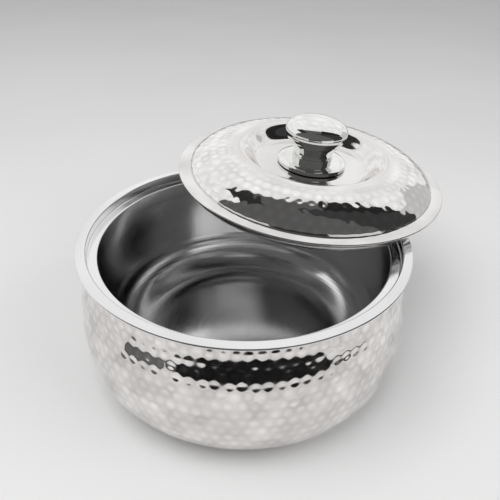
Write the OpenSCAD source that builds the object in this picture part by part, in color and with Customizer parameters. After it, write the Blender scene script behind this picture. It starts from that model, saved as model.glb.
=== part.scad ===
// Insulated casserole: a double-walled steel pot and its lift-off insulated lid.
// The lid is shown ajar, resting on the right and far side of the pot's brim.

/* [Pot] */
// Outer diameter of the flat brim
brim_d = 240; // [200:1:300]
// Height of the brim's outer edge above the table
pot_h = 111; // [95:1:150]
// Width of the flat brim
brim_w = 7.3; // [5:0.1:12]
// Rise of the brim towards its inner edge
brim_crown = 0.5; // [0:0.1:1.5]
// Depth of the step that the lid drops into
step_depth = 6.5; // [4:0.1:10]
// Width of the ledge that carries the closed lid
ledge_w = 7.2; // [5:0.1:12]
// How far the belly stands out beyond the brim, on each side
belly_out = 2.4; // [1:0.1:15]
// Height of the belly's widest ring
belly_h = 52.5; // [40:0.5:60]
// Diameter at which the belly turns into the flat bottom
bottom_d = 152; // [140:1:170]
// Squareness of the belly's lower curve, 2 is an ellipse
belly_curve = 2.7; // [2:0.1:4]
// Steepness of the shoulder above the belly
shoulder_curve = 1.4; // [1.2:0.1:2.5]

/* [Sheet and foam] */
// Thickness of the steel sheet
sheet = 0.5; // [0.4:0.05:0.7]
// Width of the seam that curls under the brim
hem_w = 3; // [2:0.1:4]
// Gap between the step's wall and the shell's neck
neck_gap = 0.2; // [0.1:0.05:1]
// Thickness of the foam under the bowl
floor_foam = 11; // [6:0.5:20]

/* [Bowl] */
// Inner radius between the bowl's wall and floor
bowl_corner_r = 34; // [20:1:45]
// How far the wall leans in on its way down
bowl_draft = 2; // [0.5:0.1:6]
// Radius of the rolled edges at brim and ledge
edge_r = 1.2; // [0.9:0.1:2]
// Radius of the corner between step and ledge
ledge_fillet = 0.8; // [0.4:0.1:1.5]

/* [Base] */
// Height of the shell's bottom above the table
base_lift = 1; // [0.6:0.1:2]
// Mean diameter of the foot ring
foot_d = 124; // [100:1:130]
// Width of the foot ring's flat
foot_w = 6; // [4:0.5:8]
// Height of the raised middle of the base plate
base_rise = 4; // [3:0.5:6]
// Width of the base plate's flange inside the shell
base_flange_w = 5; // [3:0.5:6]
// Diameter of the foam filling holes
filler_d = 10; // [6:0.5:14]
// Diameter of the filling plugs' heads
filler_head_d = 16; // [15.5:0.5:22]
// Thickness of the filling plugs' heads
filler_head_t = 1.2; // [0.8:0.1:2]
// Length of the filling plugs' stems
filler_stem = 4; // [2:0.5:6]

/* [Lid] */
// Play between the lid's edge and the step's wall
lid_play = 4.7; // [1:0.1:5]
// Play between the lid's plug and the pot's mouth
plug_play = 1.3; // [0.8:0.1:2.5]
// Depth of the plug below the lid's brim
plug_depth = 8.8; // [7:0.1:12]
// Radius around the plug's lower edge
plug_corner_r = 4; // [2:0.5:6]
// Width of the lid's flat brim
lid_brim_w = 8.8; // [6:0.1:14]
// Rise of the lid's brim towards the dome
lid_crown = 0.8; // [0:0.1:1.5]
// Height of the dome's crest above the lid's brim
crest_h = 18.6; // [15:0.1:24]
// Diameter of the dome's crest
crest_d = 120; // [112:1:130]
// Squareness of the dome's outer curve, 2 is an ellipse
dome_curve = 1.7; // [1.5:0.1:2.5]
// Height of the sunk middle above the lid's brim
well_h = 8; // [5:0.1:11]
// Diameter of the flat floor of the sunk middle
well_d = 86; // [70:1:96]

/* [Knob] */
// Diameter of the knob's base disc
disc_d = 56; // [50:0.5:64]
// Thickness of the base disc
disc_t = 3.8; // [3:0.1:6]
// Radius around the base disc's edge
disc_edge_r = 1.2; // [0.5:0.1:1.4]
// Thickness of the seat ring under the base disc
spacer_t = 0.6; // [0.4:0.1:1.5]
// How far the seat ring stands back from the disc's edge
spacer_inset = 4; // [2:0.5:8]
// Diameter of the collar
collar_d = 32.4; // [31:0.1:36]
// Height of the collar, with its groove
collar_h = 4.5; // [3.5:0.1:8]
// Height of the groove between collar and knob
groove_h = 0.9; // [0.6:0.1:1.5]
// Diameter of the knob's waist
waist_d = 30.4; // [29:0.1:31]
// Largest diameter of the knob
knob_d = 49.2; // [42:0.1:60]
// Height from the waist to the widest ring
flare_h = 19.6; // [14:0.1:26]
// Height of the domed cap
cap_h = 9; // [6:0.1:14]
// Height of the cap's rolled skirt
cap_skirt = 0.9; // [0.6:0.1:2]
// How far the cap's skirt stands out over the knob
cap_lip = 0.2; // [0.1:0.05:0.5]
// Thickness of the knob's sheet
knob_sheet = 0.8; // [0.5:0.1:1.2]
// Diameter of the core's stem inside the collar
core_d = 25; // [18:0.5:26]

/* [Screw] */
// Diameter of the knob's screw
screw_d = 5; // [4:0.5:6]
// Length of the screw below its head
screw_l = 25; // [20:1:28]
// Diameter of the screw's head
screw_head_d = 9.2; // [9:0.1:11]
// Height of the screw's head
screw_head_h = 3; // [2.5:0.1:4]
// Diameter of the flat washer
washer_d = 13; // [11.5:0.5:15]
// Thickness of the flat washer
washer_t = 1; // [0.8:0.1:1.6]
// Width of the spring washer's wire
spring_wire = 1.8; // [1.2:0.1:2]
// Height of the spring washer
spring_t = 1.3; // [1:0.1:1.6]
// Diameter of the threaded insert
insert_d = 9; // [8:0.5:12]
// Length of the threaded insert
insert_l = 14; // [8:0.5:16]
// Play around the screw and in the plugs' holes
hole_play = 0.25; // [0.15:0.05:0.5]
// Play of the screw in its thread, and of parts pushed together
thread_play = 0.05; // [0.02:0.01:0.1]
// Play around the screw's head inside the foam
pocket_play = 1.2; // [0.5:0.1:3]

/* [Lid at rest] */
// Shift of the lid to the right
lid_shift_x = 53; // [40:0.5:66]
// Shift of the lid to the back
lid_shift_y = 74; // [60:0.5:90]
// Tilt of the lid, right side down
lid_tilt_side = 4.2; // [1:0.1:8]
// Tilt of the lid, near side down
lid_tilt_near = 1.2; // [0:0.1:3]
// Gap between the resting lid and the brim
rest_gap = 0.3; // [0.2:0.05:1]

/* [Hidden] */
$fn = 120;

steel = [0.83, 0.83, 0.84];
polished = [0.72, 0.73, 0.75];
foam = [0.93, 0.87, 0.66];
plastic = [0.16, 0.16, 0.17];
brass = [0.80, 0.66, 0.32];

// Steps along a long curve and along a small rounding
curve_steps = 20;
arc_steps = 6;

// Radii and heights of the pot
brim_r = brim_d / 2;
step_r = brim_r - brim_w;
mouth_r = step_r - ledge_w;
ledge_z = pot_h - step_depth;
belly_r = brim_r + belly_out;
neck_r = step_r + sheet + neck_gap + sheet;
bottom_r = bottom_d / 2;
hem_r = 1.5 * sheet;
flange_r = brim_r - hem_r;
flange_z = pot_h - 2 * sheet;
brim_in_z = pot_h + brim_crown;

// Radii and heights of the base
foot_in = (foot_d - foot_w) / 2;
foot_out = (foot_d + foot_w) / 2;
base_hole_r = foot_out + hole_play;
plate_r = base_hole_r + base_flange_w;
plate_z = base_lift + sheet;
base_top_z = base_rise + sheet;
foot_slope = base_rise;
filler_r = filler_d / 2;

// Heights inside the bowl
bowl_z = base_top_z + floor_foam + sheet;
bowl_low_r = mouth_r - bowl_draft;
corner_c = [bowl_low_r - bowl_corner_r, bowl_z + bowl_corner_r];

// Radii and heights of the lid, measured from the upper edge of its brim
lid_r = step_r - lid_play;
plug_r = mouth_r - plug_play;
dome_r = lid_r - lid_brim_w;
crest_r = crest_d / 2;
well_r = well_d / 2;
lid_flange_r = lid_r - hem_r;
plug_c = [plug_r - plug_corner_r, plug_corner_r - plug_depth];

// Heights of the knob's stack, upwards from the sunk middle of the lid
disc_r = disc_d / 2;
disc_z = well_h + spacer_t;
collar_z = disc_z + disc_t;
waist_z = collar_z + collar_h;
widest_z = waist_z + flare_h;
knob_top_z = widest_z + cap_h;
waist_r = waist_d / 2;
knob_r = knob_d / 2;
core_r = core_d / 2;

// Heights of the screw's stack, downwards from the sunk middle of the lid
washer_z = well_h - sheet - washer_t;
spring_z = washer_z - spring_t;
head_z = spring_z - screw_head_h;
screw_r = screw_d / 2;
screw_hole_r = screw_r + hole_play;
screw_end_z = spring_z + screw_l;
insert_z = collar_z + (screw_end_z - collar_z - insert_l) / 2;
pocket_r = washer_d / 2 + pocket_play;
pocket_z = head_z - pocket_play;

// Points of an arc about c from angle a0 to a1
function arc(c, r, a0, a1) =
    [for (i = [0:arc_steps]) let (a = a0 + (a1 - a0) * i / arc_steps) c + r * [cos(a), sin(a)]];

function reversed(p) = [for (i = [len(p) - 1:-1:0]) p[i]];

// Shoulder and belly of the outer shell from the brim down, its surface moved in by t
function shoulder_r(z) =
    belly_r - (belly_r - neck_r) * pow(max(0, (z - belly_h) / (pot_h - belly_h)), shoulder_curve);
function shoulder(t) =
    [for (i = [0:curve_steps - 1])
        let (z = flange_z + (belly_h - flange_z) * i / curve_steps) [shoulder_r(z) - t, z]];
function belly(t) =
    [for (i = [0:curve_steps])
        let (a = 90 * i / curve_steps, p = 2 / belly_curve, low_z = base_lift + t)
        [bottom_r + (belly_r - t - bottom_r) * pow(cos(a), p),
         belly_h - (belly_h - low_z) * pow(sin(a), p)]];

// Shoulder below height z_top, on the same points, its surface moved in by t
function shoulder_below(z_top, t) =
    let (p = shoulder(t), r_at_height = [for (q = reversed(p)) [q[1], q[0]]])
    concat([[lookup(z_top, r_at_height), z_top]], [for (q = p) if (q[1] < z_top) q]);

// Outside of the bowl, below the ledge, from the floor's middle to the step's wall
function bowl_under() = concat(
    [[0, bowl_z - sheet]],
    arc(corner_c, bowl_corner_r + sheet, -90, 0),
    arc([mouth_r + edge_r, ledge_z - edge_r], edge_r - sheet, 180, 90),
    [[step_r - ledge_fillet, ledge_z - sheet]]);

// Upper side of the base plate from the filling hole outwards
function base_top() = [
    [filler_r, base_top_z],
    [foot_in - foot_slope, base_top_z],
    [foot_in, sheet],
    [foot_out - sheet, sheet],
    [foot_out - sheet, plate_z + sheet],
    [plate_r, plate_z + sheet]];

// Dome of the lid from its brim to the screw hole, its surface moved in by t
function dome(t) = concat(
    [for (i = [0:curve_steps])
        let (a = 90 * i / curve_steps, p = 2 / dome_curve)
        [crest_r + (dome_r - t - crest_r) * pow(cos(a), p),
         lid_crown - t + (crest_h - lid_crown) * pow(sin(a), p)]],
    [for (i = [1:curve_steps])
        let (u = i / curve_steps)
        [crest_r + (well_r - crest_r) * u, crest_h - t + (well_h - crest_h) * (1 - cos(180 * u)) / 2]],
    [[screw_hole_r, well_h - t]]);

// Hem that curls over a flange whose edge lies at radius r, below height z
function hem_inside(r, z) = concat(
    arc([r - hem_r, z - hem_r], hem_r - sheet, 90, -90),
    [[r - hem_w, z - 2 * sheet]]);
function hem_outside(r, z) = concat(
    [[r - hem_w, z - 3 * sheet]],
    arc([r - hem_r, z - hem_r], hem_r, -90, 90));

// Flare of the knob from its waist to its widest ring, its surface moved in by t
function flare(t) =
    [for (i = [0:curve_steps])
        let (u = i / curve_steps)
        [waist_r - t + (knob_r - waist_r) * (1 - cos(180 * u)) / 2, waist_z + flare_h * u]];

// Domed cap of the knob from its widest ring to the middle, its surface moved in by t
function cap_dome(t) =
    [for (i = [0:curve_steps])
        let (a = 90 * i / curve_steps)
        [(knob_r + cap_lip - t) * cos(a), widest_z + (cap_h - t) * sin(a)]];

// Height of the lid's underside above its plane at distance d from its axis
function lid_under(d) =
    d < plug_c[0] ? -plug_depth
    : d < plug_r ? plug_c[1] - sqrt(pow(plug_corner_r, 2) - pow(d - plug_c[0], 2))
    : d < lid_r ? -3 * sheet : pot_h;

// Height that the lid's middle needs to clear the brim at radius r and angle a
function lid_need(r, a, z) =
    let (
        y = (r * sin(a) - lid_shift_y - sin(lid_tilt_near) * plug_depth) / cos(lid_tilt_near),
        x = (r * cos(a) - lid_shift_x - sin(lid_tilt_side) * sin(lid_tilt_near) * y
             + sin(lid_tilt_side) * cos(lid_tilt_near) * plug_depth) / cos(lid_tilt_side),
        d = norm([x, y]))
    d > lid_r ? 0 : z + sin(lid_tilt_side) * x
        - cos(lid_tilt_side) * (sin(lid_tilt_near) * y + cos(lid_tilt_near) * lid_under(d));

lid_z = rest_gap + max([for (a = [-30:0.25:150]) for (u = [0:0.125:1])
    lid_need(step_r + brim_w * u, a, brim_in_z - brim_crown * u)]);

module lid_place() {
    translate([lid_shift_x, lid_shift_y, lid_z])
        rotate([lid_tilt_near, lid_tilt_side, 0])
            children();
}

// Pot

// Belly-shaped outer skin with the flange that the bowl's brim curls over
module outer_shell() {
    color(steel)
        rotate_extrude()
            polygon(concat(
                [[flange_r, flange_z]],
                shoulder(0),
                belly(0),
                [[base_hole_r, base_lift], [base_hole_r, plate_z]],
                reversed(belly(sheet)),
                reversed(shoulder(sheet)),
                [[shoulder_r(flange_z) - sheet, flange_z + sheet], [flange_r, flange_z + sheet]]));
}

// Inner bowl in one piece with the ledge, the step and the hemmed brim
module inner_bowl() {
    color(polished)
        rotate_extrude()
            polygon(concat(
                bowl_under(),
                arc([step_r - ledge_fillet, ledge_z + ledge_fillet], ledge_fillet + sheet, -90, 0),
                arc([step_r + edge_r, brim_in_z - edge_r], edge_r - sheet, 180, 90),
                hem_inside(brim_r, pot_h),
                hem_outside(brim_r, pot_h),
                arc([step_r + edge_r, brim_in_z - edge_r], edge_r, 90, 180),
                arc([step_r - ledge_fillet, ledge_z + ledge_fillet], ledge_fillet, 0, -90),
                arc([mouth_r + edge_r, ledge_z - edge_r], edge_r, 90, 180),
                arc(corner_c, bowl_corner_r, 0, -90),
                [[0, bowl_z]]));
}

// Foam between the two skins, with a hollow for the filling plug's stem
module body_insulation() {
    foam_top = ledge_z - sheet;
    color(foam)
        difference() {
            rotate_extrude()
                polygon(concat(
                    bowl_under(),
                    shoulder_below(foam_top, sheet),
                    belly(sheet),
                    [[plate_r, plate_z]],
                    reversed(base_top()),
                    [[0, base_top_z]]));
            translate([0, 0, base_rise])
                cylinder(r = filler_r, h = sheet + filler_stem + hole_play);
        }
}

// Pressed plate that closes the shell, with the foot ring that stands on the table
module base_plate() {
    color(steel)
        rotate_extrude()
            polygon(concat(
                base_top(),
                [[plate_r, plate_z],
                 [foot_out, plate_z],
                 [foot_out, 0],
                 [foot_in - sheet / 2, 0],
                 [foot_in - foot_slope - sheet / 2, base_rise],
                 [filler_r, base_rise]]));
}

// Plug whose head lies under a sheet with its upper face at height z
module filler_plug(z) {
    color(plastic) {
        translate([0, 0, z - sheet - filler_head_t])
            cylinder(d = filler_head_d, h = filler_head_t);
        translate([0, 0, z - sheet - filler_head_t])
            cylinder(r = filler_r - hole_play, h = filler_head_t + sheet + filler_stem);
    }
}

module base_filler_plug() {
    filler_plug(base_top_z);
}

// Lid

// Dome with its sunk middle, hemmed over the pan's flange
module lid_outer_shell() {
    color(steel)
        lid_place()
            rotate_extrude()
                polygon(concat(
                    hem_outside(lid_r, 0),
                    dome(0),
                    reversed(dome(sheet)),
                    hem_inside(lid_r, 0)));
}

// Pan with the plug that drops into the pot's mouth
module lid_inner_pan() {
    color(polished)
        lid_place()
            rotate_extrude()
                polygon(concat(
                    [[filler_r, -plug_depth]],
                    arc(plug_c, plug_corner_r, -90, 0),
                    [[plug_r, -2 * sheet],
                     [lid_flange_r, -2 * sheet],
                     [lid_flange_r, -sheet],
                     [plug_r - sheet, -sheet]],
                    arc(plug_c, plug_corner_r - sheet, 0, -90),
                    [[filler_r, sheet - plug_depth]]));
}

// Foam between dome and pan, hollow around the screw's head and the plug's stem
module lid_insulation() {
    color(foam)
        lid_place()
            difference() {
                rotate_extrude()
                    polygon(concat(
                        [[0, sheet - plug_depth]],
                        arc(plug_c, plug_corner_r - sheet, -90, 0),
                        [[plug_r - sheet, -sheet]],
                        dome(sheet),
                        [[0, well_h - sheet]]));
                translate([0, 0, pocket_z])
                    cylinder(r = pocket_r, h = well_h - pocket_z);
                translate([0, 0, -plug_depth])
                    cylinder(r = filler_r, h = sheet + filler_stem + hole_play);
            }
}

module lid_filler_plug() {
    lid_place()
        filler_plug(sheet - plug_depth);
}

// Knob

// Seat ring between the base disc and the lid
module knob_spacer() {
    color(plastic)
        lid_place()
            translate([0, 0, well_h])
                difference() {
                    cylinder(r = disc_r - spacer_inset, h = spacer_t);
                    translate([0, 0, -1])
                        cylinder(r = screw_hole_r, h = spacer_t + 2);
                }
}

// Polished base disc with a rounded edge
module knob_disc() {
    color(polished)
        lid_place()
            rotate_extrude()
                polygon(concat(
                    [[screw_hole_r, disc_z]],
                    arc([disc_r - disc_edge_r, disc_z + disc_edge_r], disc_edge_r, -90, 0),
                    arc([disc_r - disc_edge_r, collar_z - disc_edge_r], disc_edge_r, 0, 90),
                    [[screw_hole_r, collar_z]]));
}

// Collar below the waist, with a groove under the knob
module knob_collar() {
    collar_r = collar_d / 2;
    groove_z = waist_z - groove_h;
    color(polished)
        lid_place()
            rotate_extrude()
                polygon(concat(
                    [[core_r + thread_play, collar_z]],
                    [[collar_r, collar_z]],
                    arc([collar_r - groove_h, groove_z - groove_h], groove_h, 0, 90),
                    [[waist_r - groove_h, groove_z],
                     [waist_r - groove_h, waist_z],
                     [core_r + thread_play, waist_z]]));
}

// Flaring skin of the knob, turned in at the waist
module knob_flare() {
    color(polished)
        lid_place()
            rotate_extrude()
                polygon(concat(
                    flare(0),
                    [[knob_r - knob_sheet, widest_z]],
                    [for (p = reversed(flare(knob_sheet))) if (p[1] > waist_z + knob_sheet) p],
                    [[waist_r - knob_sheet, waist_z + knob_sheet],
                     [core_r + thread_play, waist_z + knob_sheet],
                     [core_r + thread_play, waist_z]]));
}

// Domed cap rolled over the widest ring
module knob_cap() {
    color(polished)
        lid_place()
            rotate_extrude()
                polygon(concat(
                    [[knob_r, widest_z - cap_skirt], [knob_r + cap_lip, widest_z - cap_skirt]],
                    cap_dome(0),
                    reversed(cap_dome(knob_sheet)),
                    [[knob_r, widest_z]]));
}

// Moulded core that fills the knob and holds the insert
module knob_core() {
    color(plastic)
        lid_place()
            difference() {
                rotate_extrude()
                    polygon(concat(
                        [[0, collar_z], [core_r, collar_z], [core_r, waist_z + knob_sheet]],
                        [[waist_r - knob_sheet, waist_z + knob_sheet]],
                        [for (p = flare(knob_sheet)) if (p[1] > waist_z + knob_sheet) p],
                        cap_dome(knob_sheet)));
                translate([0, 0, collar_z - 1])
                    cylinder(r = screw_hole_r, h = screw_end_z + hole_play - collar_z + 1);
                translate([0, 0, insert_z])
                    cylinder(d = insert_d, h = insert_l);
            }
}

// Threaded insert moulded into the core
module knob_insert() {
    color(brass)
        lid_place()
            translate([0, 0, insert_z])
                difference() {
                    cylinder(d = insert_d, h = insert_l);
                    translate([0, 0, -1])
                        cylinder(r = screw_r + thread_play, h = insert_l + 2);
                }
}

// Screw from below with a slotted pan head
module knob_screw() {
    slot_w = screw_head_h / 3;
    color(polished)
        lid_place()
            difference() {
                union() {
                    translate([0, 0, head_z])
                        cylinder(d = screw_head_d, h = screw_head_h);
                    translate([0, 0, head_z])
                        cylinder(r = screw_r, h = screw_head_h + screw_l);
                }
                translate([-screw_head_d, -slot_w / 2, head_z - slot_w])
                    cube([2 * screw_head_d, slot_w, 2 * slot_w]);
            }
}

// Flat washer under the sunk middle
module knob_washer() {
    color(polished)
        lid_place()
            translate([0, 0, washer_z])
                difference() {
                    cylinder(d = washer_d, h = washer_t);
                    translate([0, 0, -1])
                        cylinder(r = screw_hole_r, h = washer_t + 2);
                }
}

// Split spring washer between the screw's head and the flat washer
module knob_spring_washer() {
    split_w = spring_wire / 2;
    color(polished)
        lid_place()
            translate([0, 0, spring_z])
                difference() {
                    cylinder(r = screw_hole_r + spring_wire, h = spring_t);
                    translate([0, 0, -1])
                        cylinder(r = screw_hole_r, h = spring_t + 2);
                    translate([0, -split_w / 2, -1])
                        cube([screw_d + spring_wire, split_w, spring_t + 2]);
                }
}

outer_shell();
inner_bowl();
body_insulation();
base_plate();
base_filler_plug();
lid_outer_shell();
lid_inner_pan();
lid_insulation();
lid_filler_plug();
knob_spacer();
knob_disc();
knob_collar();
knob_flare();
knob_cap();
knob_core();
knob_insert();
knob_screw();
knob_washer();
knob_spring_washer();
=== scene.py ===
import math

import bpy
import numpy as np
from mathutils import Matrix, Vector


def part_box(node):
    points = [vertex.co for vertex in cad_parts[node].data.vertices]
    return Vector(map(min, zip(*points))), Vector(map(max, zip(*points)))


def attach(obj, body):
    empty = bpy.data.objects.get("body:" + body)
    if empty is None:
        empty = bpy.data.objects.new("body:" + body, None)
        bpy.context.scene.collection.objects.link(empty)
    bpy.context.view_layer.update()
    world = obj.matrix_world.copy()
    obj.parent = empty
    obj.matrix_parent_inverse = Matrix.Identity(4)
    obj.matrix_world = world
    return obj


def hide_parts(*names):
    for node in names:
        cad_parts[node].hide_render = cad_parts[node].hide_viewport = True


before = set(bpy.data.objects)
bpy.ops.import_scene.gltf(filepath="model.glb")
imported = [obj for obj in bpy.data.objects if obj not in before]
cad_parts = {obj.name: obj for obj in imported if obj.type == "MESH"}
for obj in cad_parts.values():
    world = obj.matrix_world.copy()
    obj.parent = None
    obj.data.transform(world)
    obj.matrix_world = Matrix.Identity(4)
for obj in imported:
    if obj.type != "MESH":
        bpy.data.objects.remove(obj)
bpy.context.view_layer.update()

MM = 0.001

# Pot, measured from the table
BRIM_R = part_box("inner_bowl")[1].x
BRIM_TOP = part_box("inner_bowl")[1].z
BRIM_CROWN = 0.5 * MM
BRIM_W = 7.3 * MM
STEP_DEPTH = 6.5 * MM
LEDGE_W = 7.2 * MM
BELLY_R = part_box("outer_shell")[1].x
BELLY_H = 52.5 * MM
BELLY_CURVE = 2.7
SHOULDER_CURVE = 1.4
BOTTOM_R = 76 * MM
BASE_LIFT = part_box("outer_shell")[0].z
SHEET = 0.5 * MM
HEM_W = 3 * MM
NECK_GAP = 0.2 * MM
EDGE_R = 1.2 * MM
LEDGE_FILLET = 0.8 * MM
BOWL_DRAFT = 2 * MM
BOWL_CORNER_R = 34 * MM
FOOT_IN = 59 * MM
FOOT_OUT = 65 * MM
FOOT_PLAY = 0.25 * MM
FOOT_SLOPE = 4 * MM
BASE_RISE = 4 * MM
BASE_FLANGE_W = 5 * MM
FILLER_R = 5 * MM

POT_H = BRIM_TOP - BRIM_CROWN
STEP_R = BRIM_R - BRIM_W
MOUTH_R = STEP_R - LEDGE_W
LEDGE_Z = POT_H - STEP_DEPTH
NECK_R = STEP_R + 2 * SHEET + NECK_GAP
HEM_R = 1.5 * SHEET
FLANGE_Z = POT_H - 2 * SHEET
BOWL_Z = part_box("inner_bowl")[0].z + SHEET
BASE_HOLE_R = FOOT_OUT + FOOT_PLAY

# Lid, measured from the upper edge of its brim
LID_PLAY = 4.7 * MM
PLUG_PLAY = 1.3 * MM
PLUG_DEPTH = 8.8 * MM
PLUG_CORNER_R = 4 * MM
LID_BRIM_W = 8.8 * MM
LID_CROWN = 0.8 * MM
CREST_R = 60 * MM
CREST_H = 18.6 * MM
DOME_CURVE = 1.7
WELL_R = 43 * MM
WELL_H = 8 * MM
SCREW_HOLE_R = 2.75 * MM

LID_R = STEP_R - LID_PLAY
PLUG_R = MOUTH_R - PLUG_PLAY
DOME_R = LID_R - LID_BRIM_W

# Knob, measured in the same way
SPACER_T = 0.6 * MM
WASHER_T = 1 * MM
DISC_R = 28 * MM
DISC_T = 3.8 * MM
DISC_EDGE_R = 0.5 * MM
DISC_SLOPE_W = 7 * MM
DISC_SLOPE_H = 1.7 * MM
COLLAR_R = 16.2 * MM
COLLAR_H = 4.5 * MM
GROOVE_H = 0.9 * MM
WAIST_R = 15.2 * MM
KNOB_R = 24.6 * MM
FLARE_H = 19.6 * MM
FLARE_FULLNESS = 0.82
CAP_H = 9 * MM
CAP_CURVE = 2.2
CAP_SKIRT = 0.9 * MM
CAP_LIP = 0.2 * MM
KNOB_SHEET = 0.8 * MM
CORE_R = 12.55 * MM

DISC_Z = WELL_H + SPACER_T
COLLAR_Z = DISC_Z + DISC_T
WAIST_Z = COLLAR_Z + COLLAR_H
WIDEST_Z = WAIST_Z + FLARE_H

# Hammering
POT_BLOWS = 96
LID_BLOWS = 62
TURNS_PER_BLOW = 8
RINGS_PER_ROW = 6
POT_ROW_PITCH = 7.2 * MM
LID_ROW_PITCH = 7.2 * MM
POT_FIRST_RING = 1
LID_FIRST_RING = 2
POT_BLOW_REACH = 4.1 * MM
LID_BLOW_REACH = 3.9 * MM
POT_BLOW_DEPTH = 0.14 * MM
LID_BLOW_DEPTH = 0.16 * MM
POT_BLOW_WANDER = 1.5 * MM
LID_BLOW_WANDER = 1 * MM
BLOW_UNEVENNESS = 0.4
POT_FADE_RINGS = (4, 14)
LID_FADE_RINGS = (2, 6)
POT_SMOOTH_W = 8 * MM
LID_SMOOTH_W = 4 * MM

# Spacing of the rings where a hammered skin is smooth
BOTTOM_SPACING = 8 * MM
POT_INNER_SPACING = 13 * MM
LID_INNER_SPACING = 6 * MM

FINE_TURNS = 256
SHARP_ANGLE = math.radians(40)
ON_AXIS = 1e-7

# Camera: its lens in millimetres, its angles in degrees and its place in metres
LENS = 38.42
CAMERA_TILT = 56.237
CAMERA_TURN = -0.592
CAMERA_ROLL = 1.003
CAMERA_PLACE = (0, -0.3309, 0.3175)

# Cards that only the steel mirrors, glowing sheets that paint its dark and grey reflections, by angle in
# degrees to the right of the front and upwards
VAULT_R = 0.62
VAULT_FOOT = -11
VAULT_LEFT = -82
VAULT_RIGHT = 58
ZENITH = 90
LOW_FLAG_SIDES = (-32, 14)
LOW_FLAG_TOP = 4
DARK_END = 97
GREY_END = 130
GREY_TOP = 30
CEILING_R = 2.0
CEILING_FRONT = 78
CEILING_LEFT = -33
CEILING_SEAM = 14
CEILING_RIGHT = 64
BAND_LEFT = -33
BAND_RIGHT = 43
TAIL_END = 66
NECK_END = -39
BLOCK_END = -61
STRIP_LIFT = 0.5 * MM
CARD_COLUMNS = 32
CARD_ROWS = 16

# Room
FLOOR_HALF = 6.0
LAMP_AIM = Vector((0, 0, 0.08))
ROOM_LIGHT = 0.45
ROOM_WHITE = 1.0


def new_object(name, data):
    """An object of this data, in the scene."""
    thing = bpy.data.objects.new(name, data)
    bpy.context.scene.collection.objects.link(thing)
    return thing


def grey(level):
    """A neutral colour of this level."""
    return (level, level, level)


# Camera

def photo_camera():
    """Stands in front of the pot, above the lid, and looks down on it."""
    data = bpy.data.cameras.new("camera")
    data.sensor_width = 36
    data.lens = LENS
    camera = new_object("camera", data)
    tilt = Matrix.Rotation(math.radians(CAMERA_TILT), 4, "X")
    turn = Matrix.Rotation(math.radians(CAMERA_TURN), 4, "Y")
    roll = Matrix.Rotation(math.radians(CAMERA_ROLL), 4, "Z")
    camera.matrix_world = Matrix.Translation(CAMERA_PLACE) @ tilt @ turn @ roll
    bpy.context.scene.camera = camera


photo_camera()


# Place of the lid, which lies tilted on the brim

def middle(node):
    """Middle of a node's box."""
    low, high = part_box(node)
    return (low + high) / 2


def lid_place():
    """The lid's axis runs through the middles of the washer and the insert on it."""
    washer = middle("knob_washer")
    up = (middle("knob_insert") - washer).normalized()
    right = Vector((0, 1, 0)).cross(up).normalized()
    turn = Matrix((right, up.cross(right), up)).transposed().to_4x4()
    washer_z = WELL_H - SHEET - WASHER_T / 2
    return Matrix.Translation(washer - up * washer_z) @ turn


LID_PLACE = lid_place()


# Outlines

def arc(centre, radius, start, end, steps=10):
    """Points of an arc from one angle to another, in degrees."""
    angles = [math.radians(start + (end - start) * i / steps) for i in range(steps + 1)]
    return [(centre[0] + radius * math.cos(a), centre[1] + radius * math.sin(a)) for a in angles]


def even_points(points, spacing):
    """The same line with its points at an even spacing."""
    line = np.array(points)
    along = np.concatenate([[0], np.cumsum(np.hypot(*np.diff(line, axis=0).T))])
    count = max(2, round(along[-1] / spacing) + 1)
    at = np.linspace(0, along[-1], count)
    return list(zip(np.interp(at, along, line[:, 0]), np.interp(at, along, line[:, 1])))


def held_corners(outline, hold=0.25 * MM, stride=5 * MM):
    """The closed outline with long stretches divided, and held close to their ends."""
    held = []
    for here, there in zip(outline, outline[1:] + outline[:1]):
        held.append(here)
        length = math.dist(here, there)
        if length < 4 * hold:
            continue
        inner = [hold / length]
        cuts = int(length / stride)
        inner += [k / (cuts + 1) for k in range(1, cuts + 1)]
        inner.append(1 - hold / length)
        held += [(here[0] + (there[0] - here[0]) * t, here[1] + (there[1] - here[1]) * t)
                 for t in inner]
    return held


def shoulder_and_belly(inset, steps=160):
    """Outer shell from the flange down to the flat bottom, its surface moved in by inset."""
    points = []
    for i in range(steps):
        z = FLANGE_Z + (BELLY_H - FLANGE_Z) * i / steps
        rise = (z - BELLY_H) / (POT_H - BELLY_H)
        points.append((BELLY_R - (BELLY_R - NECK_R) * rise ** SHOULDER_CURVE - inset, z))
    low_z = BASE_LIFT + inset
    power = 2 / BELLY_CURVE
    for i in range(steps + 1):
        a = math.pi / 2 * i / steps
        points.append((
            BOTTOM_R + (BELLY_R - inset - BOTTOM_R) * abs(math.cos(a)) ** power,
            BELLY_H - (BELLY_H - low_z) * math.sin(a) ** power))
    return points


def dome_wall(inset, steps=160):
    """Dome of the lid from its brim up to the crest."""
    power = 2 / DOME_CURVE
    points = []
    for i in range(steps + 1):
        a = math.pi / 2 * i / steps
        points.append((
            CREST_R + (DOME_R - inset - CREST_R) * abs(math.cos(a)) ** power,
            LID_CROWN - inset + (CREST_H - LID_CROWN) * math.sin(a) ** power))
    return points


def sunk_middle(inset, steps=40):
    """Lid from the crest down into its sunk middle, to the screw hole."""
    points = []
    for i in range(1, steps + 1):
        u = i / steps
        drop = (1 - math.cos(math.pi * u)) / 2
        points.append((CREST_R + (WELL_R - CREST_R) * u, CREST_H - inset + (WELL_H - CREST_H) * drop))
    return points + [(SCREW_HOLE_R, WELL_H - inset)]


def hem_inside(r, z):
    """Inner face of a brim curled under, which reaches out to r and up to z."""
    return arc((r - HEM_R, z - HEM_R), HEM_R - SHEET, 90, -90) + [(r - HEM_W, z - 2 * SHEET)]


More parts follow.
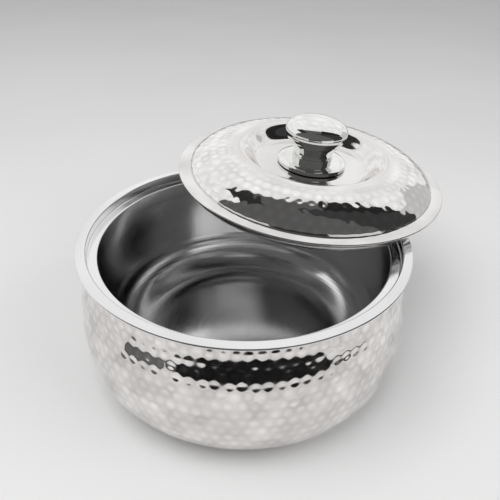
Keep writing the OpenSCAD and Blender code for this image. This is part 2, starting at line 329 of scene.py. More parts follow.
def hem_outside(r, z):
    """Outer face of the same curled brim."""
    return [(r - HEM_W, z - 3 * SHEET)] + arc((r - HEM_R, z - HEM_R), HEM_R, -90, 90)


def flare(inset, steps=40):
    """Knob from its waist to its widest ring."""
    points = []
    for i in range(steps + 1):
        u = i / steps
        out = (1 - math.cos(math.pi * u ** FLARE_FULLNESS)) / 2
        points.append((WAIST_R - inset + (KNOB_R - WAIST_R) * out, WAIST_Z + FLARE_H * u))
    return points


def cap_dome(inset, steps=32):
    """Cap of the knob from its widest ring to the middle."""
    power = 2 / CAP_CURVE
    return [((KNOB_R + CAP_LIP - inset) * math.cos(a) ** power,
             WIDEST_Z + (CAP_H - inset) * math.sin(a) ** power)
            for a in (math.pi / 2 * i / steps for i in range(steps))] + [(0, WIDEST_Z + CAP_H - inset)]


def disc_slope(steps=12):
    """Rounded upper edge of the knob's disc, from its side up to its top."""
    return [(DISC_R - DISC_SLOPE_W * (1 - math.cos(a)), COLLAR_Z - DISC_SLOPE_H * (1 - math.sin(a)))
            for a in (math.pi / 2 * i / steps for i in range(steps + 1))]


# Meshes

def revolved(name, outline, turns=FINE_TURNS, marks=None):
    """Closed skin turned about the Z axis from a closed outline of (radius, height) points.
    marks gives each outline point's row mark and strength for the hammering."""
    area = sum(a[0] * b[1] - b[0] * a[1] for a, b in zip(outline, outline[1:] + outline[:1]))
    if area < 0:
        outline = outline[::-1]
        marks = marks[::-1] if marks else None
    verts, rings, row_of, turn_of, strength_of = [], [], [], [], []
    for k, (r, z) in enumerate(outline):
        count = 1 if r < ON_AXIS else turns
        rings.append(range(len(verts), len(verts) + count))
        row, strength = marks[k] if marks else (-1, 0)
        for j in range(count):
            a = 2 * math.pi * j / turns
            verts.append((r * math.cos(a), r * math.sin(a), z))
            row_of.append(row)
            turn_of.append(j)
            strength_of.append(strength)
    faces = []
    for low, high in zip(rings, rings[1:] + rings[:1]):
        if len(low) == 1 and len(high) == 1:
            continue
        for j in range(turns):
            k = (j + 1) % turns
            corners = [low[j % len(low)], low[k % len(low)], high[k % len(high)], high[j % len(high)]]
            faces.append(list(dict.fromkeys(corners)))
    mesh = bpy.data.meshes.new(name)
    mesh.from_pydata(verts, [], faces)
    if marks:
        for key, kind, values in (("blow_row", "INT", row_of), ("turn", "INT", turn_of),
                                  ("strength", "FLOAT", strength_of)):
            mesh.attributes.new(key, kind, "POINT").data.foreach_set("value", values)
    return mesh


def smooth_piece(name, mesh, place=None):
    """A shaded piece of this mesh, put at its place."""
    if place:
        mesh.transform(place)
    mesh.polygons.foreach_set("use_smooth", [True] * len(mesh.polygons))
    mesh.set_sharp_from_angle(angle=SHARP_ANGLE)
    return new_object(name, mesh)


def socket_id(tree, name):
    """The identifier of a tree's named input."""
    return next(s.identifier for s in tree.interface.items_tree
                if s.item_type == "SOCKET" and s.in_out == "INPUT" and s.name == name)


def hammer_tree():
    """Sinks one shallow dimple round every marked point of a smooth skin."""
    tree = bpy.data.node_groups.new("hammering", "GeometryNodeTree")
    face = tree.interface
    face.new_socket("Geometry", in_out="OUTPUT", socket_type="NodeSocketGeometry")
    face.new_socket("Geometry", in_out="INPUT", socket_type="NodeSocketGeometry")
    for name, kind, value in (("Rings per row", "Int", RINGS_PER_ROW),
                              ("Turns per blow", "Int", TURNS_PER_BLOW),
                              ("Depth", "Float", POT_BLOW_DEPTH), ("Reach", "Float", POT_BLOW_REACH),
                              ("Wander", "Float", POT_BLOW_WANDER),
                              ("Unevenness", "Float", BLOW_UNEVENNESS), ("Seed", "Int", 1)):
        face.new_socket(name, in_out="INPUT", socket_type=f"NodeSocket{kind}").default_value = value
    face.new_socket("Material", in_out="INPUT", socket_type="NodeSocketMaterial")
    nodes, links = tree.nodes, tree.links
    given = nodes.new("NodeGroupInput").outputs

    def put(socket, value):
        if isinstance(value, bpy.types.NodeSocket):
            links.new(value, socket)
        else:
            socket.default_value = value

    def calc(operation, a, b=0.0):
        node = nodes.new("ShaderNodeMath")
        node.operation = operation
        put(node.inputs[0], a)
        put(node.inputs[1], b)
        return node.outputs[0]

    def stored(name, kind):
        node = nodes.new("GeometryNodeInputNamedAttribute")
        node.data_type = kind
        node.inputs["Name"].default_value = name
        return node.outputs["Attribute"]

    def scaled(vector, factor):
        node = nodes.new("ShaderNodeVectorMath")
        node.operation = "SCALE"
        links.new(vector, node.inputs[0])
        links.new(factor, node.inputs["Scale"])
        return node.outputs["Vector"]

    def shifted(geometry, offset):
        node = nodes.new("GeometryNodeSetPosition")
        links.new(geometry, node.inputs["Geometry"])
        links.new(offset, node.inputs["Offset"])
        return node.outputs["Geometry"]

    # The blows fall on one ring of each row, staggered by half a blow from row to row
    row_ring = stored("blow_row", "INT")
    on_row = calc("COMPARE", calc("FLOORED_MODULO", row_ring, given["Rings per row"]), 0.0)
    on_row = calc("MULTIPLY", on_row, calc("GREATER_THAN", row_ring, -0.5))
    odd_row = calc("FLOORED_MODULO", calc("DIVIDE", row_ring, given["Rings per row"]), 2.0)
    stagger = calc("MULTIPLY", odd_row, calc("DIVIDE", given["Turns per blow"], 2.0))
    turn = calc("FLOORED_MODULO", calc("ADD", stored("turn", "INT"), stagger), given["Turns per blow"])
    chosen = calc("MULTIPLY", on_row, calc("LESS_THAN", turn, 0.5))

    blows = nodes.new("GeometryNodeMeshToPoints")
    links.new(given["Geometry"], blows.inputs["Mesh"])
    links.new(chosen, blows.inputs["Selection"])

    # Each blow lands a little aside of its place
    wander = nodes.new("FunctionNodeRandomValue")
    wander.data_type = "FLOAT_VECTOR"
    links.new(given["Seed"], wander.inputs["Seed"])
    aside = nodes.new("ShaderNodeVectorMath")
    aside.operation = "SUBTRACT"
    links.new(wander.outputs["Value"], aside.inputs[0])
    aside.inputs[1].default_value = (0.5, 0.5, 0.5)
    landed = shifted(blows.outputs["Points"], scaled(aside.outputs["Vector"], given["Wander"]))

    # A dimple is deepest under its blow and ends smoothly at its reach
    near = nodes.new("GeometryNodeProximity")
    near.target_element = "POINTS"
    links.new(landed, near.inputs[0])
    share = calc("DIVIDE", near.outputs["Distance"], given["Reach"])
    inside = calc("MAXIMUM", calc("SUBTRACT", 1.0, calc("MULTIPLY", share, share)), 0.0)
    dimple = calc("MULTIPLY", inside, inside)

    # Some blows are lighter than others
    which = nodes.new("GeometryNodeSampleNearest")
    which.domain = "POINT"
    links.new(landed, which.inputs["Geometry"])
    luck = nodes.new("FunctionNodeRandomValue")
    luck.data_type = "FLOAT"
    links.new(given["Seed"], luck.inputs["Seed"])
    links.new(which.outputs["Index"], luck.inputs["ID"])
    chance = next(output for output in luck.outputs if output.type == "VALUE" and output.enabled)
    lighter = calc("SUBTRACT", 1.0, calc("MULTIPLY", chance, given["Unevenness"]))
    hollow = calc("MULTIPLY", calc("MULTIPLY", dimple, lighter), stored("strength", "FLOAT"))
    sink = calc("MULTIPLY", hollow, given["Depth"])
    inward = scaled(nodes.new("GeometryNodeInputNormal").outputs["Normal"], calc("MULTIPLY", sink, -1.0))

    # The steel's tone reads how hollow each point is: the material paints a highlight into each dimple and
    # shade on the ridges between
    kept = nodes.new("GeometryNodeStoreNamedAttribute")
    kept.data_type = "FLOAT"
    kept.domain = "POINT"
    kept.inputs["Name"].default_value = "hollow"
    links.new(given["Geometry"], kept.inputs["Geometry"])
    links.new(hollow, kept.inputs["Value"])

    whole = nodes.new("GeometryNodeRealizeInstances")
    links.new(shifted(kept.outputs["Geometry"], inward), whole.inputs["Geometry"])
    finish = nodes.new("GeometryNodeSetMaterial")
    links.new(whole.outputs["Geometry"], finish.inputs["Geometry"])
    links.new(given["Material"], finish.inputs["Material"])
    links.new(finish.outputs["Geometry"], nodes.new("NodeGroupOutput").inputs["Geometry"])
    return tree


HAMMERING = hammer_tree()


def hammered(mesh, material, **values):
    """The skin after the hammering, as a plain mesh."""
    raw = new_object("raw_skin", mesh)
    modifier = raw.modifiers.new("hammering", "NODES")
    modifier.node_group = HAMMERING
    for name, value in values.items():
        modifier[socket_id(HAMMERING, name)] = value
    modifier[socket_id(HAMMERING, "Material")] = material
    raw.update_tag()
    seen = raw.evaluated_get(bpy.context.evaluated_depsgraph_get())
    beaten = bpy.data.meshes.new_from_object(seen)
    bpy.data.objects.remove(raw)
    return beaten


# Materials

def new_material(name):
    """A new material with its nodes and its shader."""
    material = bpy.data.materials.new(name)
    material.use_nodes = True
    shader = material.node_tree.nodes["Principled BSDF"]
    return material, material.node_tree, shader


def object_place(tree, place=None):
    """Object coordinates, turned to a tilted piece's own axis if it has one."""
    where = tree.nodes.new("ShaderNodeTexCoord").outputs["Object"]
    if place is None:
        return where
    mapping = tree.nodes.new("ShaderNodeMapping")
    mapping.vector_type = "TEXTURE"
    mapping.inputs["Location"].default_value = place.to_translation()
    mapping.inputs["Rotation"].default_value = place.to_euler()
    tree.links.new(where, mapping.inputs["Vector"])
    return mapping.outputs["Vector"]


def noise(tree, where, scale, detail=2.0):
    """Cloudy pattern, finer with a larger scale."""
    node = tree.nodes.new("ShaderNodeTexNoise")
    node.inputs["Scale"].default_value = scale
    node.inputs["Detail"].default_value = detail
    tree.links.new(where, node.inputs["Vector"])
    return node.outputs["Fac"]


def ranged(tree, value, low, high, start=0.3, end=0.7):
    """Carries a pattern over to a range of values."""
    node = tree.nodes.new("ShaderNodeMapRange")
    node.inputs["From Min"].default_value = start
    node.inputs["From Max"].default_value = end
    node.inputs["To Min"].default_value = low
    node.inputs["To Max"].default_value = high
    tree.links.new(value, node.inputs["Value"])
    return node.outputs["Result"]


def blended(tree, value, dark, light):
    """Mixes two colours by a pattern."""
    node = tree.nodes.new("ShaderNodeValToRGB")
    ramp = node.color_ramp
    ramp.elements[0].position = 0.3
    ramp.elements[0].color = (*dark, 1)
    ramp.elements[1].position = 0.7
    ramp.elements[1].color = (*light, 1)
    tree.links.new(value, node.inputs["Fac"])
    return node.outputs["Color"]


def bumped(tree, shader, height, strength, distance):
    """Lets a pattern roughen the surface."""
    node = tree.nodes.new("ShaderNodeBump")
    node.inputs["Strength"].default_value = strength
    node.inputs["Distance"].default_value = distance
    tree.links.new(height, node.inputs["Height"])
    tree.links.new(node.outputs["Normal"], shader.inputs["Normal"])


def round_lines(tree, where):
    """A vector that changes only across the turning marks of a revolved piece."""
    split = tree.nodes.new("ShaderNodeSeparateXYZ")
    tree.links.new(where, split.inputs["Vector"])
    flat = tree.nodes.new("ShaderNodeCombineXYZ")
    tree.links.new(split.outputs["X"], flat.inputs["X"])
    tree.links.new(split.outputs["Y"], flat.inputs["Y"])
    length = tree.nodes.new("ShaderNodeVectorMath")
    length.operation = "LENGTH"
    tree.links.new(flat.outputs["Vector"], length.inputs[0])
    joined = tree.nodes.new("ShaderNodeCombineXYZ")
    tree.links.new(length.outputs["Value"], joined.inputs["X"])
    tree.links.new(split.outputs["Z"], joined.inputs["Z"])
    return joined.outputs["Vector"]


def polished_steel(name, place, dark, light, gloss=(0.04, 0.09), hammered=None):
    """Mirror-polished stainless steel with faint buffing clouds. hammered gives how light the ridges and the
    hollows of the hammering are painted: a painted highlight in the hollows and painted shade on the ridges."""
    material, tree, shader = new_material(name)
    where = object_place(tree, place)
    colour = blended(tree, noise(tree, where, scale=45, detail=3), dark, light)
    if hammered:
        # Painted highlight and shade of the hammering: the colour is scaled up in the hollows and down on
        # the ridges
        hollow = tree.nodes.new("ShaderNodeAttribute")
        hollow.attribute_name = "hollow"
        shade = tree.nodes.new("ShaderNodeVectorMath")
        shade.operation = "SCALE"
        tree.links.new(colour, shade.inputs[0])
        tone = ranged(tree, hollow.outputs["Fac"], *hammered, start=0, end=0.8)
        tree.links.new(tone, shade.inputs["Scale"])
        colour = shade.outputs["Vector"]
    tree.links.new(colour, shader.inputs["Base Color"])
    wipes = noise(tree, where, scale=160, detail=4)
    tree.links.new(ranged(tree, wipes, *gloss), shader.inputs["Roughness"])
    shader.inputs["Metallic"].default_value = 1.0
    return material


def spun_steel(name, place, dark, light, gloss=(0.12, 0.2)):
    """Stainless steel with the fine round lines that polishing on a lathe leaves."""
    material, tree, shader = new_material(name)
    lines = noise(tree, round_lines(tree, object_place(tree, place)), scale=2600, detail=3)
    tree.links.new(blended(tree, lines, dark, light), shader.inputs["Base Color"])
    tree.links.new(ranged(tree, lines, *gloss), shader.inputs["Roughness"])
    bumped(tree, shader, lines, strength=0.12, distance=0.05 * MM)
    shader.inputs["Metallic"].default_value = 1.0
    return material


def foam_filling():
    """Pale yellow rigid foam with fine cells."""
    material, tree, shader = new_material("foam")
    where = object_place(tree)
    cells = tree.nodes.new("ShaderNodeTexVoronoi")
    cells.inputs["Scale"].default_value = 900
    tree.links.new(where, cells.inputs["Vector"])
    tone = noise(tree, where, scale=60, detail=4)
    tree.links.new(blended(tree, tone, (0.80, 0.68, 0.38), (0.90, 0.80, 0.52)),
                   shader.inputs["Base Color"])
    bumped(tree, shader, cells.outputs["Distance"], strength=0.6, distance=0.4 * MM)
    shader.inputs["Roughness"].default_value = 0.85
    return material


def moulded_plastic(name, dark, light):
    """Moulded plastic with a fine satin grain."""
    material, tree, shader = new_material(name)
    where = object_place(tree)
    grain = noise(tree, where, scale=2200)
    clouds = noise(tree, where, scale=80, detail=3)
    tree.links.new(blended(tree, clouds, dark, light), shader.inputs["Base Color"])
    tree.links.new(ranged(tree, grain, low=0.38, high=0.52), shader.inputs["Roughness"])
    bumped(tree, shader, grain, strength=0.2, distance=0.08 * MM)
    return material


def drawn_brass():
    """Drawn brass with a fine uneven tone."""
    material, tree, shader = new_material("insert_brass")
    grain = noise(tree, object_place(tree, LID_PLACE), scale=900, detail=3)
    tree.links.new(blended(tree, grain, (0.62, 0.44, 0.15), (0.78, 0.58, 0.24)),
                   shader.inputs["Base Color"])
    tree.links.new(ranged(tree, grain, low=0.22, high=0.36), shader.inputs["Roughness"])
    shader.inputs["Metallic"].default_value = 1.0
    return material


def plated_steel():
    """Zinc-plated steel of the screw and its washers."""
    material, tree, shader = new_material("fastener_steel")
    spots = noise(tree, object_place(tree, LID_PLACE), scale=1200, detail=3)
    tree.links.new(blended(tree, spots, (0.52, 0.53, 0.55), (0.66, 0.67, 0.68)),
                   shader.inputs["Base Color"])
    tree.links.new(ranged(tree, spots, low=0.25, high=0.4), shader.inputs["Roughness"])
    shader.inputs["Metallic"].default_value = 1.0
    return material


# The pot's hammered steel is painted darker than the lid's, though both are the same steel: painted shade
# for the belly, which mirrors the floor. Both carry a warm cast, a painted reflection of a reddish surround.
HAMMERED_POT = polished_steel("hammered_pot_steel", None, dark=(0.71, 0.685, 0.67),
                              light=(0.77, 0.745, 0.73), hammered=(0.94, 1.11))
HAMMERED_LID = polished_steel("hammered_lid_steel", LID_PLACE, dark=(0.79, 0.775, 0.765),
                              light=(0.86, 0.84, 0.83), hammered=(0.96, 1.10))
BOWL_STEEL = spun_steel("bowl_steel", None, dark=grey(0.80), light=grey(0.88))
PAN_STEEL = spun_steel("pan_steel", LID_PLACE, dark=grey(0.76), light=grey(0.84))
KNOB_STEEL = polished_steel("knob_steel", LID_PLACE, dark=(0.81, 0.81, 0.79),
                            light=(0.86, 0.86, 0.85), gloss=(0.02, 0.05))
BASE_STEEL = spun_steel("base_steel", None, dark=grey(0.66), light=grey(0.76), gloss=(0.18, 0.28))


def dress(piece, material, body, slot, *nodes):
    """Gives a finished piece its material and body, and sets it in place of its nodes. Its slot is not used.
    """
    piece.data.materials.clear()
    piece.data.materials.append(material)
    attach(piece, body)
    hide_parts(*nodes)


# Pot

def hammered_marks(rings, fade_rings, first):
    """Row mark and strength of each ring of a hammered stretch, which fades in and out over the
    fade rings at its two ends. The first row of blows lies on the ring numbered first."""
    fade_in, fade_out = fade_rings
    marks = []
    for i in range(rings):
        start = min(1, i / fade_in)
        end = min(1, (rings - 1 - i) / fade_out)
        marks.append((i - first, min(start, end)))
    return marks


def hammered_belly():
    """Outer skin of the pot, beaten all round below the flange."""
    outer = even_points(shoulder_and_belly(0), POT_ROW_PITCH / RINGS_PER_ROW)
    beaten_rings = [p for p in outer if p[0] > BOTTOM_R + POT_SMOOTH_W]
    flat = even_points(outer[len(beaten_rings):], BOTTOM_SPACING)
    inner = even_points(shoulder_and_belly(SHEET), POT_INNER_SPACING)[::-1]
    top_r = inner[-1][0]
    flange_r = BRIM_R - HEM_R
    rest = flat + [(BASE_HOLE_R, BASE_LIFT), (BASE_HOLE_R, BASE_LIFT + SHEET)] + inner
    rest += [(top_r, FLANGE_Z + SHEET), (flange_r, FLANGE_Z + SHEET), (flange_r, FLANGE_Z)]
    marks = hammered_marks(len(beaten_rings), POT_FADE_RINGS, POT_FIRST_RING)
    marks += [(-1, 0)] * len(rest)
    skin = revolved("outer_skin", beaten_rings + rest, POT_BLOWS * TURNS_PER_BLOW, marks)
    beaten = hammered(skin, HAMMERED_POT, Depth=POT_BLOW_DEPTH, Reach=POT_BLOW_REACH,
                      Wander=POT_BLOW_WANDER, Unevenness=BLOW_UNEVENNESS, Seed=4)
    dress(smooth_piece("hammered_belly", beaten), HAMMERED_POT, "pot", "hammered_steel", "outer_shell")


def bowl_under():
    """Under face of the bowl, from its middle out to the ledge."""
    corner = (MOUTH_R - BOWL_DRAFT - BOWL_CORNER_R, BOWL_Z + BOWL_CORNER_R)
    return ([(0, BOWL_Z - SHEET)]
            + arc(corner, BOWL_CORNER_R + SHEET, -90, 0, steps=24)
            + arc((MOUTH_R + EDGE_R, LEDGE_Z - EDGE_R), EDGE_R - SHEET, 180, 90)
            + [(STEP_R - LEDGE_FILLET, LEDGE_Z - SHEET)])


def bowl_inside():
    """Inner face of the bowl, from its brim down the step and the ledge to its middle."""
    corner = (MOUTH_R - BOWL_DRAFT - BOWL_CORNER_R, BOWL_Z + BOWL_CORNER_R)
    return (arc((STEP_R + EDGE_R, BRIM_TOP - EDGE_R), EDGE_R, 90, 180)
            + arc((STEP_R - LEDGE_FILLET, LEDGE_Z + LEDGE_FILLET), LEDGE_FILLET, 0, -90)
            + arc((MOUTH_R + EDGE_R, LEDGE_Z - EDGE_R), EDGE_R, 90, 180)
            + arc(corner, BOWL_CORNER_R, 0, -90, steps=24)
            + [(0, BOWL_Z)])


def spun_bowl():
    """Inner bowl with its ledge, step and curled brim."""
    outline = (bowl_under()
               + arc((STEP_R - LEDGE_FILLET, LEDGE_Z + LEDGE_FILLET), LEDGE_FILLET + SHEET, -90, 0)
               + arc((STEP_R + EDGE_R, BRIM_TOP - EDGE_R), EDGE_R - SHEET, 180, 90)
               + hem_inside(BRIM_R, POT_H)
               + hem_outside(BRIM_R, POT_H)
               + bowl_inside())
    mesh = revolved("bowl", held_corners(outline))
    dress(smooth_piece("spun_bowl", mesh), BOWL_STEEL, "pot", "bowl_steel", "inner_bowl")


def pressed_base():
    """Plate with the foot ring that the pot stands on."""
    plate_r = BASE_HOLE_R + BASE_FLANGE_W
    plate_z = BASE_LIFT + SHEET
    outline = [(FILLER_R, BASE_RISE + SHEET), (FOOT_IN - FOOT_SLOPE, BASE_RISE + SHEET), (FOOT_IN, SHEET),
               (FOOT_OUT - SHEET, SHEET), (FOOT_OUT - SHEET, plate_z + SHEET), (plate_r, plate_z + SHEET),
               (plate_r, plate_z), (FOOT_OUT, plate_z), (FOOT_OUT, 0), (FOOT_IN - SHEET / 2, 0),
               (FOOT_IN - FOOT_SLOPE - SHEET / 2, BASE_RISE), (FILLER_R, BASE_RISE)]
    mesh = revolved("base", held_corners(outline))
    dress(smooth_piece("pressed_base", mesh), BASE_STEEL, "pot", "base_steel", "base_plate")


# Lid

def hammered_dome():
    """Outer skin of the lid, beaten on its outer wall and smooth on top."""
    outer = even_points(dome_wall(0), LID_ROW_PITCH / RINGS_PER_ROW)
    beaten_rings = [p for p in outer if p[0] > CREST_R + LID_SMOOTH_W]
    inner = even_points(dome_wall(SHEET), LID_INNER_SPACING) + sunk_middle(SHEET, steps=12)
    brim = hem_outside(LID_R, 0)
    rest = outer[len(beaten_rings):] + sunk_middle(0) + inner[::-1] + hem_inside(LID_R, 0)
    outline = brim + outer[:len(beaten_rings)] + rest
    marks = [(-1, 0)] * len(brim)
    marks += hammered_marks(len(beaten_rings), LID_FADE_RINGS, LID_FIRST_RING)
    marks += [(-1, 0)] * len(rest)
    skin = revolved("lid_skin", outline, LID_BLOWS * TURNS_PER_BLOW, marks)
    beaten = hammered(skin, HAMMERED_LID, Depth=LID_BLOW_DEPTH, Reach=LID_BLOW_REACH,
                      Wander=LID_BLOW_WANDER, Unevenness=BLOW_UNEVENNESS, Seed=9)
    piece = smooth_piece("hammered_dome", beaten, LID_PLACE)
    dress(piece, HAMMERED_LID, "lid", "hammered_steel", "lid_outer_shell")


def lid_pan():
    """Smooth pan with the plug that drops into the bowl's mouth."""
    corner = (PLUG_R - PLUG_CORNER_R, PLUG_CORNER_R - PLUG_DEPTH)
    flange_r = LID_R - HEM_R
    outline = ([(FILLER_R, -PLUG_DEPTH)]
               + arc(corner, PLUG_CORNER_R, -90, 0, steps=16)
               + [(PLUG_R, -2 * SHEET), (flange_r, -2 * SHEET), (flange_r, -SHEET), (PLUG_R - SHEET, -SHEET)]
               + arc(corner, PLUG_CORNER_R - SHEET, 0, -90, steps=16)
               + [(FILLER_R, SHEET - PLUG_DEPTH)])
    mesh = revolved("pan", held_corners(outline))
    dress(smooth_piece("lid_pan", mesh, LID_PLACE), PAN_STEEL, "lid", "bowl_steel", "lid_inner_pan")


# Knob

def knob_piece(name, outline, node):
    """Polished turned piece of the knob."""
    mesh = revolved(name, held_corners(outline))
    dress(smooth_piece(name, mesh, LID_PLACE), KNOB_STEEL, "lid", "polished_steel", node)


def knob_stack():
    """Disc, collar, flare and cap, from the lid upwards."""
    knob_piece("round_disc",
               [(SCREW_HOLE_R, DISC_Z)]
               + arc((DISC_R - DISC_EDGE_R, DISC_Z + DISC_EDGE_R), DISC_EDGE_R, -90, 0)
               + disc_slope()
               + [(SCREW_HOLE_R, COLLAR_Z)], "knob_disc")
    groove_z = WAIST_Z - GROOVE_H
    knob_piece("grooved_collar",
               [(CORE_R, COLLAR_Z), (COLLAR_R, COLLAR_Z)]
               + arc((COLLAR_R - GROOVE_H, groove_z - GROOVE_H), GROOVE_H, 0, 90)
               + [(WAIST_R - GROOVE_H, groove_z), (WAIST_R - GROOVE_H, WAIST_Z), (CORE_R, WAIST_Z)],
               "knob_collar")
    inside = [p for p in flare(KNOB_SHEET)[::-1] if p[1] > WAIST_Z + KNOB_SHEET]
    knob_piece("flared_skin",
               flare(0) + [(KNOB_R - KNOB_SHEET, WIDEST_Z)] + inside
               + [(WAIST_R - KNOB_SHEET, WAIST_Z + KNOB_SHEET), (CORE_R, WAIST_Z + KNOB_SHEET),
                  (CORE_R, WAIST_Z)], "knob_flare")
    knob_piece("domed_cap",
               [(KNOB_R, WIDEST_Z - CAP_SKIRT), (KNOB_R + CAP_LIP, WIDEST_Z - CAP_SKIRT)]
               + cap_dome(0) + cap_dome(KNOB_SHEET)[::-1] + [(KNOB_R, WIDEST_Z)], "knob_cap")


# Pieces that keep their own solid

def inner_pieces():
    """Foam, plugs, core and fasteners get their materials as they are."""
    plug = moulded_plastic("plug_plastic", (0.020, 0.020, 0.022), (0.045, 0.045, 0.048))
    core = moulded_plastic("core_plastic", (0.012, 0.012, 0.013), (0.030, 0.030, 0.032))
    foam = foam_filling()
    fastener = plated_steel()
    materials = {
        "body_insulation": foam, "lid_insulation": foam,
        "base_filler_plug": plug, "lid_filler_plug": plug, "knob_spacer": plug,
        "knob_core": core, "knob_insert": drawn_brass(),
        "knob_screw": fastener, "knob_washer": fastener, "knob_spring_washer": fastener}
    for name, material in materials.items():
        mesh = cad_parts[name].data
        mesh.materials.clear()
        mesh.materials.append(material)


# Studio

def pale_floor():
    """Wide matt floor with a faint mottle. Only the steel mirrors a stronger mottle, which the floor does
    not show: a painted reflection.
    """
    mesh = bpy.data.meshes.new("floor")
    corners = [(x * FLOOR_HALF, y * FLOOR_HALF, 0) for x, y in ((-1, -1), (1, -1), (1, 1), (-1, 1))]
    mesh.from_pydata(corners, [], [(0, 1, 2, 3)])
    floor = new_object("floor", mesh)
    material, tree, shader = new_material("floor_paper")
    where = object_place(tree)
    plain = blended(tree, noise(tree, where, scale=3), grey(0.80), grey(0.83))
    # Painted reflection: glossy rays see this strong mottle, the camera sees only the faint one
    painted_reflection_mottle = blended(tree, noise(tree, where, scale=26), grey(0.66), grey(0.95))
    seen = tree.nodes.new("ShaderNodeMixRGB")
    tree.links.new(tree.nodes.new("ShaderNodeLightPath").outputs["Is Glossy Ray"], seen.inputs["Fac"])
    tree.links.new(plain, seen.inputs["Color1"])
    tree.links.new(painted_reflection_mottle, seen.inputs["Color2"])
    tree.links.new(seen.outputs["Color"], shader.inputs["Base Color"])
    shader.inputs["Roughness"].default_value = 0.9
    shader.inputs["Specular IOR Level"].default_value = 0.1
    mesh.materials.append(material)


def card(name, tone, point_of):
    """Glowing card that only glossy surfaces mirror, and only from its inner side: a painted reflection.
    point_of places it.
    """
    mesh = bpy.data.meshes.new(name)
    verts = [point_of(i / CARD_COLUMNS, j / CARD_ROWS)
             for i in range(CARD_COLUMNS + 1) for j in range(CARD_ROWS + 1)]
    faces = []
    for i in range(CARD_COLUMNS):
        for j in range(CARD_ROWS):
            k = i * (CARD_ROWS + 1) + j
            faces.append((k, k + 1, k + CARD_ROWS + 2, k + CARD_ROWS + 1))
    mesh.from_pydata(verts, [], faces)
    piece = new_object(name, mesh)
    material = bpy.data.materials.new(name)
    material.use_nodes = True
    tree = material.node_tree
    glow = tree.nodes.new("ShaderNodeEmission")
    glow.inputs["Color"].default_value = (1, 1, 1, 1)
    glow.inputs["Strength"].default_value = tone
    back = tree.nodes.new("ShaderNodeMixShader")
    tree.links.new(tree.nodes.new("ShaderNodeNewGeometry").outputs["Backfacing"], back.inputs["Fac"])
    tree.links.new(glow.outputs["Emission"], back.inputs[1])
    tree.links.new(tree.nodes.new("ShaderNodeBsdfTransparent").outputs["BSDF"], back.inputs[2])
    tree.links.new(back.outputs["Shader"], tree.nodes["Material Output"].inputs["Surface"])
    mesh.materials.append(material)
    piece.visible_camera = False
    piece.visible_diffuse = False
    piece.visible_shadow = False
    piece.visible_transmission = False
    piece.visible_volume_scatter = False


def vaulted(centre, radius, from_az, to_az, from_el, to_el):
    """Points of a card bent round a centre, by azimuth from the front and by elevation."""
    def point(u, v):
        az = math.radians(from_az + (to_az - from_az) * u)
        el = math.radians(from_el + (to_el - from_el) * v)
        return (centre[0] + radius * math.sin(az) * math.cos(el),
                centre[1] - radius * math.cos(az) * math.cos(el),
                centre[2] + radius * math.sin(el))
    return point


def overhead(centre, radius, from_side, to_side, from_turn, to_turn):
    """Points of a card over the lid, by angle to the side and by turn from the front upwards."""
    def point(u, v):
        side = math.radians(from_side + (to_side - from_side) * u)
        turn = math.radians(from_turn + (to_turn - from_turn) * v)
        return (centre[0] + radius * math.sin(side),
                centre[1] - radius * math.cos(side) * math.cos(turn),
                centre[2] + radius * math.cos(side) * math.sin(turn))
    return point


def floor_strip(from_az, to_az, inner, outer, bulge=0.0):
    """Points of a strip on the floor round the pot's front. Its inner and outer radius are given
    at both ends, and the outer edge bulges between them."""
    def point(u, v):
        az = math.radians(from_az + (to_az - from_az) * u)
        near = inner[0] + (inner[1] - inner[0]) * u
        far = outer[0] + (outer[1] - outer[0]) * u + bulge * math.sin(math.pi * u)
        r = near + (far - near) * v
        return (r * math.sin(az), -r * math.cos(az), STRIP_LIFT)
    return point


def soft_lamp(name, place, size, power):
    """Large soft lamp turned to the pot."""
    data = bpy.data.lights.new(name, "AREA")
    data.shape = "SQUARE"
    data.size = size
    data.energy = power
    lamp = new_object(name, data)
    lamp.location = place
    aim = LAMP_AIM - Vector(place)
    lamp.rotation_euler = aim.to_track_quat("-Z", "Y").to_euler()
    lamp.visible_glossy = False


def bright_room():
    """White all round for the camera, mottled in the steel, and softer light on what is matt."""
    world = bpy.data.worlds.new("room")
    bpy.context.scene.world = world
    world.use_nodes = True
    tree = world.node_tree
    background = tree.nodes["Background"]
    path = tree.nodes.new("ShaderNodeLightPath").outputs

    def either(a, b):
        node = tree.nodes.new("ShaderNodeMath")
        node.operation = "ADD"
        node.use_clamp = True
        tree.links.new(a, node.inputs[0])
        tree.links.new(b, node.inputs[1])
        return node.outputs[0]

    shown = either(either(path["Is Camera Ray"], path["Is Glossy Ray"]), path["Is Transmission Ray"])
    tree.links.new(ranged(tree, shown, ROOM_LIGHT, ROOM_WHITE, start=0, end=1),
                   background.inputs["Strength"])
    where = tree.nodes.new("ShaderNodeTexCoord").outputs["Generated"]
    walls = blended(tree, noise(tree, where, scale=8), grey(0.80), grey(1.06))
    seen = tree.nodes.new("ShaderNodeMixRGB")
    seen.inputs["Color1"].default_value = (1, 1, 1, 1)
    tree.links.new(path["Is Glossy Ray"], seen.inputs["Fac"])
    tree.links.new(walls, seen.inputs["Color2"])
    tree.links.new(seen.outputs["Color"], background.inputs["Color"])


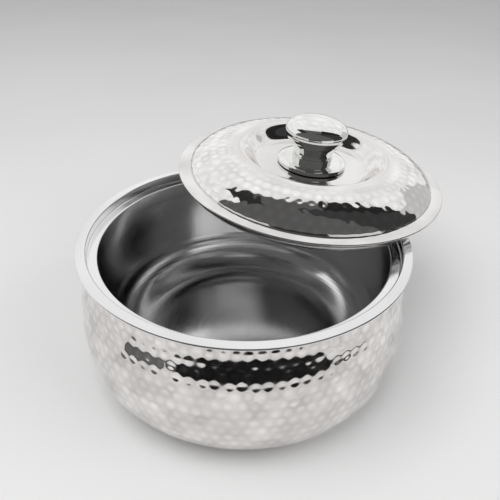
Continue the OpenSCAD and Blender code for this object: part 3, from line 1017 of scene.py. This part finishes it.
def far_cards():
    """Painted reflections: a dark vault before the lid with a grey card at its right, and dark cards high
    over the lid, all glowing cards seen only in the steel.
    """
    middle_of_lid = LID_PLACE.to_translation()

    def vault_card(name, tone, sides, foot, top):
        card(name, tone, vaulted(middle_of_lid, VAULT_R, *sides, foot, top))

    def ceiling_card(name, tone, sides, back):
        card(name, tone, overhead(middle_of_lid, CEILING_R, *sides, CEILING_FRONT, back))

    vault_card("front_flag", 0.11, (VAULT_LEFT, VAULT_RIGHT), LOW_FLAG_TOP, ZENITH)
    vault_card("low_flag", 0.03, LOW_FLAG_SIDES, VAULT_FOOT, LOW_FLAG_TOP)
    vault_card("dark_flag", 0.045, (VAULT_RIGHT, DARK_END), VAULT_FOOT, ZENITH)
    ceiling_card("top_flag", 0.11, (-CEILING_SEAM, CEILING_SEAM), back=110)
    ceiling_card("left_corner_flag", 0.03, (CEILING_LEFT, -CEILING_SEAM), back=113)
    ceiling_card("right_corner_flag", 0.02, (CEILING_SEAM, CEILING_RIGHT), back=114)
    vault_card("grey_card", 0.6, (DARK_END, GREY_END), VAULT_FOOT, GREY_TOP)


def floor_cards():
    """Painted reflection: the dark strip on the floor that makes the belly's band, its thin tail and its
    grey end, seen only in the steel and not on the floor.
    """
    card("floor_flag", 0.01, floor_strip(BAND_LEFT, BAND_RIGHT, inner=(0.254, 0.251),
                                         outer=(0.290, 0.290), bulge=0.052))
    card("floor_tail", 0.02, floor_strip(BAND_RIGHT, TAIL_END, inner=(0.262, 0.251),
                                         outer=(0.276, 0.256)))
    card("floor_neck", 0.06, floor_strip(NECK_END, BAND_LEFT, inner=(0.268, 0.268),
                                         outer=(0.280, 0.284)))
    card("floor_block", 0.14, floor_strip(BLOCK_END, NECK_END, inner=(0.228, 0.250),
                                          outer=(0.268, 0.280)))


def studio():
    """Floor, room, two lamps and the cards."""
    pale_floor()
    bright_room()
    soft_lamp("high_softbox", place=(-0.5, -0.4, 1.5), size=1.2, power=14)
    soft_lamp("side_softbox", place=(1.1, -0.5, 1.0), size=1.0, power=6)
    far_cards()
    floor_cards()


hammered_belly()
spun_bowl()
pressed_base()
hammered_dome()
lid_pan()
knob_stack()
inner_pieces()
studio()

bpy.context.scene.view_settings.view_transform = "Standard"
